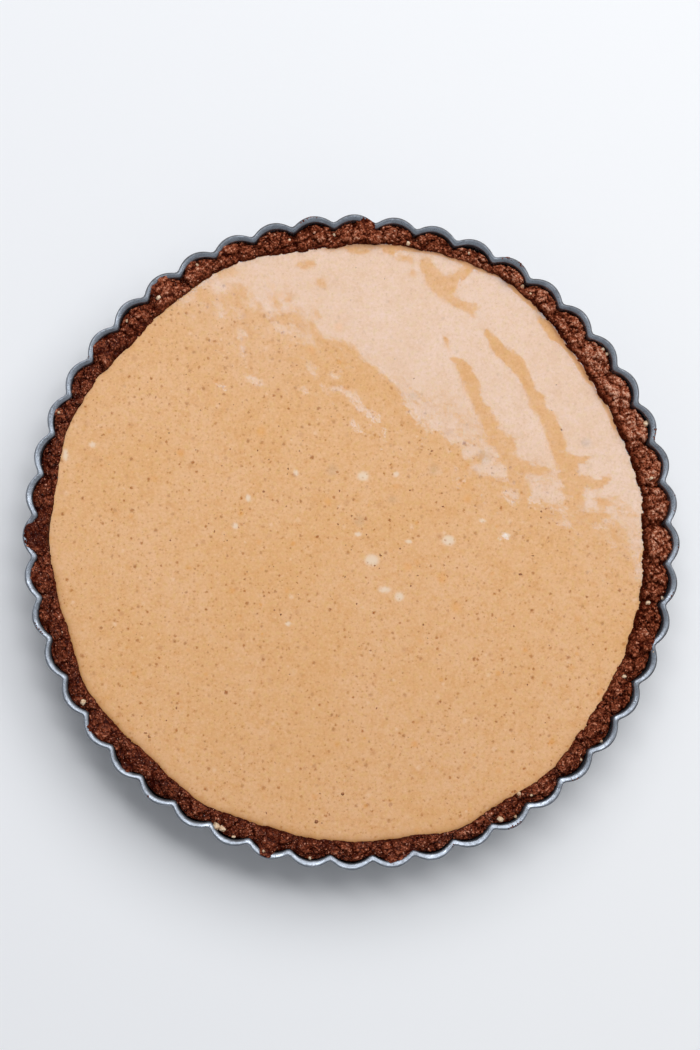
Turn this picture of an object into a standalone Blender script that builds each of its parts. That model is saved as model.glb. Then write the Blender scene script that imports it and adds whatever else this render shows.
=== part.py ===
"""A peanut butter pie in its fluted tin: the tin, a pressed crumb crust and a smooth, poured filling.

Lengths are metres, +Z is up, and the origin is the middle of the tin's flat base.
"""
import math

import bmesh
import bpy
from mathutils import Vector, noise

# The tin: a pressed sheet with a fluted, slightly flared wall and a narrow lip that slopes inwards
FLUTES = 48
STEPS_PER_FLUTE = 6
STEPS = FLUTES * STEPS_PER_FLUTE
FIRST_FLUTE_ANGLE = math.radians(-0.3)
LIP_RADIUS = 0.120
TIN_HEIGHT = 0.025
SHEET = 0.0008
WALL_DRAFT = math.tan(math.radians(7.0))
FLUTE_DEPTH = 0.0033
VALLEY_ROUNDING = 0.06
WALL_SET_BACK = 0.00145
LIP_DEPTH = 0.0014
BASE_CORNER = 0.0010
# Each corner of the lip: how far in from its outer edge, and how far below its top
LIP_CORNERS = (
    (0.0, 0.00095),
    (0.0005, 0.0),
    (0.0022, 0.00055),
)

# The crust: pressed crumbs, a base and a wall that ends in a craggy rim
GAP = 0.0003
CRUST_BASE = 0.0055
RIM_HEIGHT = 0.0246
SHOULDER_HEIGHT = 0.0185
WALL_LEAN = 0.0020
RIM_STEPS = 2 * STEPS
RIM_RINGS = (0.0, 0.17, 0.38, 0.60, 0.82)
RIM_CROWN = 0.0021
RIM_CREST = 0.52
FLUTE_LUMP = 0.0010
RIM_GAP = 0.0004
RIM_GAP_SWING = 0.0005
WIDEST_GAP_ANGLE = math.radians(25)
DRAW_BACK = {"size": 0.011, "shift": 0.0009}
CLUMPS = (
    {"size": 0.0070, "rise": 0.0026},
    {"size": 0.0035, "rise": 0.0020},
)
CRAGS = {"size": 0.0024, "rise": 0.0008, "shift": 0.0006}
ROUGHEST_ANGLE = math.radians(40)
PRESSED_SHARE = 0.45

# The crust's inner edge, in mm from the middle at each ten degrees from +X, with small waves on it
SHORE_STEP = math.radians(10)
SHORE_RADII_MM = (
    106.4, 107.2, 106.4, 106.0, 106.6, 109.2, 111.8, 110.9, 110.4,
    108.8, 107.9, 110.1, 109.7, 108.6, 108.2, 110.6, 111.5, 109.7,
    110.5, 109.2, 108.9, 110.9, 109.2, 108.6, 110.8, 109.0, 109.6,
    109.8, 109.9, 112.0, 109.7, 110.9, 108.7, 107.8, 107.6, 107.4,
)
SHORE_WAVE = {"size": 0.0052, "shift": 0.0007}

# The filling: its level, and the low ridges that the last strokes of the spatula left
FILLING_HEIGHT = 0.0224
FILLING_GAP = 1.3 * GAP
EDGE_DIP = 0.0003
EDGE_WIDTH = 0.0050
SWELL = {"size": 0.035, "rise": 0.00025}
STROKES = (
    {"start": (0.040, 0.066), "end": (0.063, 0.018), "width": 0.0045, "rise": 0.00020},
    {"start": (0.052, 0.074), "end": (0.082, 0.018), "width": 0.0045, "rise": 0.00022},
    {"start": (0.024, 0.104), "end": (0.043, 0.085), "width": 0.0045, "rise": 0.00018},
)
# Each ring of the filling's top, as a share of the way to its edge, and how many steps it has
FILLING_RINGS = (
    (0.955, STEPS // 2),
    (0.82, STEPS // 4),
    (0.62, STEPS // 4),
    (0.40, STEPS // 8),
    (0.20, STEPS // 8),
)

LOOKS = {
    "fluted_tin": {"colour": (0.13, 0.14, 0.17), "roughness": 0.42, "metallic": 0.75},
    "crumb_crust": {"colour": (0.145, 0.048, 0.026), "roughness": 0.85, "metallic": 0.0},
    "peanut_filling": {"colour": (0.68, 0.40, 0.20), "roughness": 0.35, "metallic": 0.0},
}


def place(radius, angle, height=0.0):
    return Vector((radius * math.cos(angle), radius * math.sin(angle), height))


def roughly(spot, size, layer):
    """A smooth random value from -1 to 1 that changes over about one size; each layer has its own."""
    return noise.noise(spot / size + Vector((0, 0, 7.3 * layer)))


def across_flute(angle):
    """0 in the middle of a flute, 0.5 in the valley between two."""
    turn = (angle - FIRST_FLUTE_ANGLE) / (2 * math.pi) * FLUTES
    return abs(turn - round(turn))


def flute_inset(angle):
    """How far the fluted wall stands in from the circle that the flutes touch. The valleys are slightly rounded."""
    across = across_flute(angle)
    rounded = VALLEY_ROUNDING * max(0.0, (across - 0.5 + VALLEY_ROUNDING) / VALLEY_ROUNDING) ** 2 / 2
    return FLUTE_DEPTH * 4 * (across - rounded) ** 2


def wall_outside(angle, height):
    """Radius of the tin's outer wall, which leans in below the lip."""
    under_lip = LIP_RADIUS - WALL_SET_BACK - flute_inset(angle)
    return under_lip - (TIN_HEIGHT - height) * WALL_DRAFT


def wall_inside(angle, height):
    return wall_outside(angle, height) - SHEET


def lip_corner(inwards, below):
    """A corner of the lip, by how far in from its outer edge and how far below its top it lies."""
    def point_at(angle):
        return place(LIP_RADIUS - inwards - flute_inset(angle), angle, TIN_HEIGHT - below)
    return point_at


def shore(angle):
    """Radius of the crust's inner edge: a smooth curve through the ten-degree radii, with small waves."""
    position = (angle % (2 * math.pi)) / SHORE_STEP
    index = int(position)
    t = position - index
    count = len(SHORE_RADII_MM)
    a, b, c, d = (SHORE_RADII_MM[(index + k) % count] for k in (-1, 0, 1, 2))
    doubled = 2 * b + (c - a) * t + (2 * a - 5 * b + 4 * c - d) * t ** 2 + (3 * b - a - 3 * c + d) * t ** 3
    radius = 0.0005 * doubled
    return radius + SHORE_WAVE["shift"] * roughly(place(radius, angle), SHORE_WAVE["size"], 4)


def roughness(angle):
    """1 where the crumbs stand roughest, less on the far side, where they were pressed smoother."""
    return 1 - PRESSED_SHARE * (1 - math.cos(angle - ROUGHEST_ANGLE)) / 2


def clumps(spot):
    """How far the crumbs' clumps stand above or below the rim: a dome for each, with creases between them."""
    rise = 0.0
    for clump in CLUMPS:
        nearest = noise.voronoi(spot / clump["size"])[0][0]
        rise += clump["rise"] * (0.5 - nearest)
    return rise


def rim_outer(angle):
    """Radius of the rim's outer shoulder. The crust has drawn back from the tin, most of all on one side."""
    wall = wall_inside(angle, RIM_HEIGHT) - GAP
    opening = RIM_GAP + RIM_GAP_SWING * math.cos(angle - WIDEST_GAP_ANGLE)
    uneven = DRAW_BACK["shift"] * roughly(place(LIP_RADIUS, angle), DRAW_BACK["size"], 1)
    return wall - max(0.0, opening + uneven)


def rim_point(across):
    """The rim's craggy top, from its outer shoulder, 0, to the filling's edge, 1."""
    def point_at(angle):
        radius = rim_outer(angle) + (shore(angle) - rim_outer(angle)) * across
        spot = place(radius, angle)
        crown = -RIM_CROWN * ((across - RIM_CREST) / RIM_CREST) ** 2
        lump = FLUTE_LUMP * math.cos(2 * math.pi * across_flute(angle)) * (1 - across)
        crags = CRAGS["rise"] * roughly(spot, CRAGS["size"], 2)
        height = RIM_HEIGHT + crown + lump + (clumps(spot) + crags) * roughness(angle)
        shift = CRAGS["shift"] * roughly(spot, CRAGS["size"], 3) * math.sin(math.pi * across)
        return place(radius + shift, angle, max(height, FILLING_HEIGHT + GAP))
    return point_at


def filling_height(x, y):
    """Height of the filling's top: a slow swell, the spatula's ridges, and a dip at the crust."""
    from_edge = max(0.0, shore(math.atan2(y, x)) - math.hypot(x, y))
    relief = SWELL["rise"] * roughly(Vector((x, y, 0)), SWELL["size"], 5)
    relief += sum(stroke_rise(Vector((x, y)), stroke) for stroke in STROKES)
    dip = EDGE_DIP * math.exp(-from_edge / EDGE_WIDTH)
    return FILLING_HEIGHT + relief * min(1.0, from_edge / EDGE_WIDTH) - dip


def stroke_rise(spot, stroke):
    """One stroke's low ridge, which fades at its ends."""
    start = Vector(stroke["start"])
    along = Vector(stroke["end"]) - start
    travel = (spot - start).dot(along) / along.length_squared
    if not 0 < travel < 1:
        return 0.0
    side = (spot - start).cross(along.normalized()) / stroke["width"]
    return stroke["rise"] * math.sin(math.pi * travel) * math.exp(-side * side)


def ring(bm, point_at, steps=STEPS):
    """A closed ring of vertices. Each flute's middle and each valley fall on one of its steps."""
    angles = (FIRST_FLUTE_ANGLE + 2 * math.pi * step / steps for step in range(steps))
    return [bm.verts.new(point_at(angle)) for angle in angles]


def stitch(bm, one, other):
    """Faces between two rings, one of which may have a whole number of times the other's steps."""
    coarse, fine = sorted((one, other), key=len)
    share = len(fine) // len(coarse)
    for step, corner in enumerate(coarse):
        following = coarse[(step + 1) % len(coarse)]
        run = [fine[(step * share + k) % len(fine)] for k in range(share + 1)]
        half = (share + 1) // 2
        for k in range(share):
            bm.faces.new((run[k], run[k + 1], corner if k < half else following))
        bm.faces.new((corner, run[half], following))


def close_with_fan(bm, loop, height):
    middle = bm.verts.new((0, 0, height))
    for step, vertex in enumerate(loop):
        bm.faces.new((vertex, loop[(step + 1) % len(loop)], middle))


def closed_solid(name, rings_with_steps, bottom, top, smooth_below):
    """Rings of points from the middle of the underside to the middle of the top, made into one named object."""
    bm = bmesh.new()
    rings = [ring(bm, point_at, steps) for point_at, steps in rings_with_steps]
    for one, other in zip(rings, rings[1:]):
        stitch(bm, one, other)
    close_with_fan(bm, rings[0], bottom)
    close_with_fan(bm, rings[-1], top)
    bmesh.ops.recalc_face_normals(bm, faces=bm.faces)
    mesh = bpy.data.meshes.new(name)
    bm.to_mesh(mesh)
    bm.free()
    mesh.shade_smooth()
    mesh.set_sharp_from_angle(angle=math.radians(smooth_below))
    mesh.materials.append(material(name))
    made = bpy.data.objects.new(name, mesh)
    bpy.context.scene.collection.objects.link(made)
    return made


def material(name):
    look = LOOKS[name]
    made = bpy.data.materials.new(name)
    made.use_nodes = True
    shader = made.node_tree.nodes["Principled BSDF"]
    shader.inputs["Base Color"].default_value = (*look["colour"], 1)
    shader.inputs["Roughness"].default_value = look["roughness"]
    shader.inputs["Metallic"].default_value = look["metallic"]
    return made


def make_tin():
    """The tin's sheet as one turned profile: up the outside, over the lip, and down the inside."""
    under_lip = TIN_HEIGHT - LIP_DEPTH
    profile = [
        lambda a: place(wall_outside(a, 0) - BASE_CORNER, a, 0),
        lambda a: place(wall_outside(a, BASE_CORNER), a, BASE_CORNER),
        lambda a: place(wall_outside(a, under_lip), a, under_lip),
    ]
    profile += [lip_corner(inwards, below) for inwards, below in LIP_CORNERS]
    profile.append(lambda a: place(wall_inside(a, SHEET), a, SHEET))
    return closed_solid("fluted_tin", [(point, STEPS) for point in profile], 0, SHEET, smooth_below=35)


def make_crust():
    """The crust's profile: up its fluted outer side, over the craggy rim, and down to the floor of its hollow."""
    foot = SHEET + GAP
    shelf = foot + CRUST_BASE
    rings = [
        (lambda a: place(wall_inside(a, foot) - GAP, a, foot), STEPS),
        (lambda a: place(wall_inside(a, SHOULDER_HEIGHT) - GAP, a, SHOULDER_HEIGHT), STEPS),
    ]
    rings += [(rim_point(across), RIM_STEPS) for across in RIM_RINGS]
    rings += [
        (lambda a: place(shore(a), a, FILLING_HEIGHT + GAP), STEPS),
        (lambda a: place(shore(a) - WALL_LEAN, a, shelf), STEPS // 2),
    ]
    return closed_solid("crumb_crust", rings, foot, shelf, smooth_below=30)


def make_filling():
    """The filling as poured: a thick round slab in the crust's hollow, with a gently waved top."""
    floor = SHEET + GAP + CRUST_BASE + GAP

    def top(share):
        def point_at(angle):
            spot = place((shore(angle) - FILLING_GAP) * share, angle)
            return Vector((spot.x, spot.y, filling_height(spot.x, spot.y)))
        return point_at

    rings = [(lambda a: place(shore(a) - WALL_LEAN - FILLING_GAP, a, floor), STEPS // 2), (top(1.0), STEPS)]
    rings += [(top(share), steps) for share, steps in FILLING_RINGS]
    return closed_solid("peanut_filling", rings, floor, filling_height(0.0, 0.0), smooth_below=60)


def main():
    for old in list(bpy.data.objects):
        bpy.data.objects.remove(old)
    make_tin()
    make_crust()
    make_filling()


main()
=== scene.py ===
import math
from itertools import combinations

import bpy
import numpy as np
from mathutils import Matrix, Vector, noise


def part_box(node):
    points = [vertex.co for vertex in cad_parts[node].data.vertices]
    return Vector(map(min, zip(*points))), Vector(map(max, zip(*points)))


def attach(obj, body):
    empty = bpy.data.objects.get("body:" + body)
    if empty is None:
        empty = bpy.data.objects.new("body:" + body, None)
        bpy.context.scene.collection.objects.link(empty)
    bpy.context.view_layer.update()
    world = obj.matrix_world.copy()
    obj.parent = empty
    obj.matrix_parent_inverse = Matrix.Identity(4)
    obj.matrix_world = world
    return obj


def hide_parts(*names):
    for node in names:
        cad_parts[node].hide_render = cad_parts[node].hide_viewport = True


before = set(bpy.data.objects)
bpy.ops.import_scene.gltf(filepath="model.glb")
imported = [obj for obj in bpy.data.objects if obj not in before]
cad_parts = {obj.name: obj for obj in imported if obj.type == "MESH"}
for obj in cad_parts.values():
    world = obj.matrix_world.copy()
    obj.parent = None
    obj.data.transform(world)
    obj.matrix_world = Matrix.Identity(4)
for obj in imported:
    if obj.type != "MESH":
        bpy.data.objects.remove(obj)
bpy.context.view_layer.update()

# Lengths are metres. +X is the photo's right, +Y its top, and the pie stands on z = 0.
# Each place in a table whose name ends in "At" is an angle, half how wide, both in degrees, and how much.
mm = 0.001
fullTurn = 2 * math.pi
tinLow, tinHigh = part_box("fluted_tin")
lipRadius = (tinHigh[0] - tinLow[0]) / 2
lipTop = tinHigh[2]


# small helpers
def polar(radius, angle, height):
    return np.stack([radius * np.cos(angle), radius * np.sin(angle), height + 0 * angle], axis=-1)


def angleOf(points):
    return np.arctan2(points[:, 1], points[:, 0])


def ease(low, high, value):  # 0 below low, 1 above high, smooth between
    share = np.clip((value - low) / (high - low), 0, 1)
    return share * share * (3 - 2 * share)


def bumpy(x, y, size, layer):  # smooth noise from -1 to 1, about one hump per size
    shift = Vector((3.1 * layer, 7.3 * layer, 1.7 * layer))
    values = [noise.noise(Vector((a, b, 0)) / size + shift) for a, b in zip(np.ravel(x), np.ravel(y))]
    return np.array(values).reshape(np.shape(x))


def cellRandom(cells, layer):  # an even random value from 0 to 1 for each whole-number cell
    mixed = np.full(cells.shape[:-1], layer, dtype=np.uint64)
    for k in range(cells.shape[-1]):
        mixed = (mixed + cells[..., k].astype(np.int64).astype(np.uint64)) * np.uint64(0x9E3779B97F4A7C15)
        mixed = mixed ^ (mixed >> np.uint64(29))
    return (mixed >> np.uint64(11)) / 2.0 ** 53


def lumps(x, y, size, layer):  # rounded: 1 on top, less towards the creases, and a random value for each
    place = np.stack([x, y], axis=-1) / size
    cell = np.floor(place)
    nearest = second = np.full(np.shape(x), 9.0)
    lump = np.zeros(np.shape(x))
    for i in (-1, 0, 1):
        for j in (-1, 0, 1):
            near = cell + (i, j)
            jitter = np.stack([cellRandom(near, layer), cellRandom(near, layer + 1)], axis=-1)
            away = np.linalg.norm(near + 0.1 + 0.8 * jitter - place, axis=-1)
            closer = away < nearest
            second = np.where(closer, nearest, np.minimum(second, away))
            lump = np.where(closer, cellRandom(near, layer + 2), lump)
            nearest = np.where(closer, away, nearest)
    return (1.25 - nearest ** 2) * ease(0, 0.30, second - nearest), lump


def aroundAngle(angle, places):  # the strongest of several places round the rim, each fading at its sides
    found = np.zeros(np.shape(angle))
    degrees = np.degrees(angle)
    for middle, half, strength in places:
        away = np.abs((degrees - middle + 180) % 360 - 180)
        found = np.maximum(found, strength * (1 - ease(0.6 * half, 1.4 * half, away)))
    return found


def addObject(name, data):
    made = bpy.data.objects.new(name, data)
    bpy.context.scene.collection.objects.link(made)
    return made


def newMesh(name, vertices, faces, material, smooth=True):
    mesh = bpy.data.meshes.new(name)
    mesh.from_pydata(vertices.tolist(), [], faces)
    mesh.validate()
    if smooth:
        mesh.shade_smooth()
    mesh.materials.append(material)
    return addObject(name, mesh)


def dress(name, vertices, faces, material, smooth=True):
    piece = newMesh(name, vertices, faces, material, smooth)
    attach(piece, "root")
    return piece


def paint(piece, **layers):  # values for each vertex, read by the materials
    for name, values in layers.items():
        layer = piece.data.attributes.new(name, "FLOAT", "POINT")
        layer.data.foreach_set("value", np.asarray(values, dtype=np.float32).ravel())


def closedTurning(rings, bottomHeight, topHeight):  # the rings run from the underside up, over and inwards
    vertices = np.concatenate([*rings, [[0, 0, bottomHeight], [0, 0, topHeight]]])
    counts = [len(ring) for ring in rings]
    faces = []
    first = 0
    for below, above in zip(counts, counts[1:]):  # a ring has the steps of the one before it, or half
        upper = first + below
        for k in range(above):
            j = (k + 1) % above
            if below == above:
                faces.append((first + k, first + j, upper + j, upper + k))
                continue
            a, b, c = first + 2 * k, first + 2 * k + 1, first + 2 * j
            faces += [(a, b, upper + k), (b, upper + j, upper + k), (b, c, upper + j)]
        first = upper
    bottom, top, middle = counts[0], counts[-1], sum(counts)
    faces += [((k + 1) % bottom, k, middle) for k in range(bottom)]
    faces += [(first + k, first + (k + 1) % top, middle + 1) for k in range(top)]
    return vertices, faces


# small helpers for materials
def newMaterial(name):
    material = bpy.data.materials.new(name)
    material.use_nodes = True
    return material, material.node_tree


def feed(socket, value):  # a value, or the link to another node's socket
    if isinstance(value, bpy.types.NodeSocket):
        socket.id_data.links.new(value, socket)
    else:
        socket.default_value = value


def finished(material, sockets):  # with the shader's sockets set or linked
    shader = material.node_tree.nodes["Principled BSDF"]
    for name, value in sockets.items():
        feed(shader.inputs[name], value)
    return material


def addNode(kind, inputs, **settings):  # the first of the inputs is linked, and the node joins its tree
    made = next(iter(inputs.values())).id_data.nodes.new("ShaderNode" + kind)
    for name, value in settings.items():
        setattr(made, name, value)
    for name, value in inputs.items():
        feed(made.inputs[name], value)
    return made.outputs


def times(value, factor, more=0):  # the product, and more added
    return addNode("Math", {0: value, 1: factor, 2: more}, operation="MULTIPLY_ADD")[0]


def between(*values):  # smooth step of a value: the value, low, high, and what it gives there
    return addNode("MapRange", dict(enumerate(values)), interpolation_type="SMOOTHSTEP")[0]


def blend(share, one, other):  # the mix node's colours are its inputs 6 and 7, and its output 2
    return addNode("Mix", {0: share, 6: one, 7: other}, data_type="RGBA")[2]


def rampColours(value, stops):
    made = addNode("ValToRGB", {0: value})[0]
    elements = made.node.color_ramp.elements
    for end in (0, -1):
        elements[end].position, elements[end].color = stops[end]
    for position, colour in stops[1:-1]:
        elements.new(position).color = colour
    return made


def placeIn(tree, stretch=(1, 1, 1), shift=(0, 0, 0)):  # object coordinates, stretched and shifted
    place = tree.nodes.new("ShaderNodeTexCoord").outputs["Object"]
    return addNode("Mapping", {"Vector": place, "Scale": stretch, "Location": shift})[0]


def painted(tree, name):
    made = tree.nodes.new("ShaderNodeAttribute")
    made.attribute_name = name
    return made.outputs["Fac"]


def cloud(place, size, detail=2, roughness=0.5):  # noise texture, one hump per size in metres
    inputs = {"Vector": place, "Scale": 1 / size, "Detail": detail, "Roughness": roughness}
    return addNode("TexNoise", inputs)["Fac"]


def ragged(place, size, amount):  # the place, pushed about by noise, so that what is drawn there looks torn
    stir = addNode("TexNoise", {"Vector": place, "Scale": 1 / size})["Color"]
    return addNode("VectorMath", {0: stir, 1: (amount, amount, 0), 2: place}, operation="MULTIPLY_ADD")[0]


def dots(place, spacing, share, smallest, largest, soft=0.5):  # scattered over a plane, 1 inside a dot
    cells = addNode("TexVoronoi", {"Vector": place, "Scale": 1 / spacing}, voronoi_dimensions="2D")
    chance = addNode("SeparateColor", {0: cells["Color"]})
    chosen = addNode("Math", {0: chance[0], 1: share}, operation="LESS_THAN")[0]
    radius = times(chance[1], (largest - smallest) / spacing, smallest / spacing)
    inner, outer = (times(radius, 1 + side * soft) for side in (-1, 1))
    inside = between(cells["Distance"], outer, inner)
    chosen = times(chosen, times(chance[2], 0.75, 0.25))
    return times(inside, chosen)


def bumpFrom(height, distance, strength=1):
    return addNode("Bump", {"Height": height, "Distance": distance, "Strength": strength})[0]


# the camera, looking down on the pie with a slight lean
view = {
    "from": (-0.0716, -0.0986, 0.9925),
    "distance": 1.4,
    "aimedAt": (-0.00117, 0.00524, 0.025),
    "heightSeen": 0.3823,
    "sensor": 36,
}


def setCamera():
    data = bpy.data.cameras.new("camera")
    data.sensor_width = view["sensor"]
    data.lens = view["sensor"] * view["distance"] / view["heightSeen"]
    data.clip_start = 0.01
    camera = addObject("camera", data)
    camera.location = Vector(view["aimedAt"]) + view["distance"] * Vector(view["from"])
    backwards = Vector(view["from"]).normalized()
    rightwards = Vector((0, 1, 0)).cross(backwards).normalized()  # +Y stays the picture's top
    upwards = backwards.cross(rightwards)
    camera.rotation_euler = Matrix((rightwards, upwards, backwards)).transposed().to_euler()
    bpy.context.scene.camera = camera


setCamera()
print("camera set")


# the tin: pressed sheet, 48 flutes, and a wall that flares into a narrow lip
tin = {
    "flutes": 48,
    "stepsPerFlute": 16,
    "firstFlute": math.radians(-0.3),
    "depth": 3.3 * mm,
    "valleyRounding": 0.07,
    "sheet": 0.8 * mm,
    "wallSetBack": 1.45 * mm,
    "draft": math.tan(math.radians(7)),
    "baseCorner": 1.0 * mm,
    "innerCorner": 1.2 * mm,
    # the lip from its outer edge inwards: how far in and how far below the top, in mm
    "lip": ((0.55, 1.38), (0.12, 1.2), (0, 0.9), (0.06, 0.45), (0.2, 0.13), (0.42, 0),
            (0.85, 0.06), (1.3, 0.16), (1.75, 0.29), (2.08, 0.41), (2.28, 0.64), (2.36, 1.1)),
    "darkEdge": (0.6, 0.9, 1, 1, 1, 0.75, 0.1),  # how dark the coating is along the first of these
    "leastDark": 0.25,
    "shadeInside": (0.55, 1, 1, 1),  # painted shade: how dark the coating is painted along the last of them, where the inner wall lies in shade
    "darkestAt": ((20, 62, 0.75), (100, 36, 0.75)),
    # where the painted shade on the inner rings lies
    "shadeInsideAt": ((222, 36, 0.9),),
    "walls": (0.0225, 0.018, 0.01, 0.0025),
    "colour": (0.25, 0.278, 0.322, 1),
    "worn": (0.46, 0.5, 0.57, 1),
    "dull": (0.14, 0.148, 0.168, 1),
    "pit": (0.06, 0.055, 0.055, 1),
    "edge": (0.03, 0.026, 0.026, 1),
}


def acrossFlute(angle):  # 0 in the middle of a flute, 0.5 in the valley
    turn = (angle - tin["firstFlute"]) / fullTurn * tin["flutes"]
    return np.abs(turn - np.round(turn))


def fluteInset(angle):
    rounding = tin["valleyRounding"]
    across = acrossFlute(angle)
    rounded = rounding * np.maximum(0, (across - 0.5 + rounding) / rounding) ** 2 / 2
    return tin["depth"] * 4 * (across - rounded) ** 2


def lipEdge(angle):
    return lipRadius - fluteInset(angle)


def wallOutside(angle, height):
    lip = lipRadius - tin["wallSetBack"] - fluteInset(angle)
    return lip - (lipTop - height) * tin["draft"]


def wallInside(angle, height):
    return wallOutside(angle, height) - tin["sheet"]


def stepsRound(count):
    return tin["firstFlute"] + fullTurn * np.arange(count) / count


def tinMaterial():
    material, tree = newMaterial("darkCoatedSteel")
    place = placeIn(tree)
    wear = cloud(place, 0.006, 5, 0.65)
    scratch = cloud(placeIn(tree, (1, 1, 0.2)), 0.0009, 4, 0.75)
    # streaks that run along the lip: the noise is long along the rim and short across it
    split = addNode("SeparateXYZ", {0: placeIn(tree, (0.22, 0.22, 0.22))})
    along = addNode("CombineXYZ", {0: split[0], 1: split[1], 2: painted(tree, "inwards")})[0]
    streak = cloud(along, 0.0011, 4, 0.65)
    colour = blend(between(streak, 0.50, 0.72, 0, 0.9), tin["colour"], tin["worn"])
    colour = blend(between(streak, 0.48, 0.28, 0, 0.8), colour, tin["dull"])
    colour = blend(between(wear, 0.52, 0.72, 0, 0.4), colour, tin["worn"])
    colour = blend(between(scratch, 0.47, 0.75, 0, 0.6), colour, tin["pit"])
    pits = dots(place, 0.0026, 0.30, 0.00010, 0.00030)
    colour = blend(times(pits, 0.75), colour, tin["pit"])
    # the lip's worn outer edge, and painted shade on its inner side at the lower left, both darken the
    # coating here
    edge = times(painted(tree, "edge"), between(wear, 0.30, 0.55, 0.6, 1.0))
    rough = times(scratch, 0.30, between(streak, 0.3, 0.7, 0.20, 0.08))
    return finished(material, {
        "Base Color": blend(edge, colour, tin["edge"]),
        "Metallic": times(edge, -0.7, 0.7),
        "Roughness": times(edge, 0.35, rough),
        "Normal": bumpFrom(scratch, 0.00012, 0.8),
    })


def makeTin():
    angles = stepsRound(tin["flutes"] * tin["stepsPerFlute"])
    corner, sheet, lip = tin["baseCorner"], tin["sheet"], tin["lip"]
    rings = [polar(wallOutside(angles, 0) - corner, angles, 0)]
    for turn in np.radians((30, 60, 90)):  # the rounded corner at the foot
        inset = corner * (1 - math.sin(turn))
        rings.append(polar(wallOutside(angles, corner) - inset, angles, corner * (1 - math.cos(turn))))
    underLip = lipTop - lip[0][1] * mm
    for height in (underLip * 0.35, underLip * 0.7, underLip - 0.1 * mm):
        rings.append(polar(wallOutside(angles, height), angles, height))
    firstOfLip = len(rings)
    for inwards, below in lip:
        rings.append(polar(lipEdge(angles) - inwards * mm, angles, lipTop - below * mm))
    for height in tin["walls"]:
        rings.append(polar(wallInside(angles, height), angles, height))
    rings.append(polar(wallInside(angles, sheet) - tin["innerCorner"], angles, sheet))
    vertices, faces = closedTurning(rings, 0, sheet)
    piece = dress("flutedTin", vertices, faces, tinMaterial())
    turns = angleOf(vertices)
    dark = np.zeros(len(vertices))
    firstInside = firstOfLip + len(lip) - len(tin["shadeInside"])
    # the worn outer edge along the first rings, and painted shade along the inner rings
    for firstRow, shares, least, places in ((firstOfLip, tin["darkEdge"], tin["leastDark"], tin["darkestAt"]),
                                            (firstInside, tin["shadeInside"], 0, tin["shadeInsideAt"])):
        for row, share in enumerate(shares, start=firstRow):
            ring = slice(row * len(angles), (row + 1) * len(angles))
            dark[ring] = share * (least + aroundAngle(turns[ring], places))
    paint(piece, edge=dark, inwards=lipEdge(turns) - np.hypot(*vertices.T[:2]))
    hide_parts("fluted_tin")


makeTin()
print("tin made")


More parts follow.
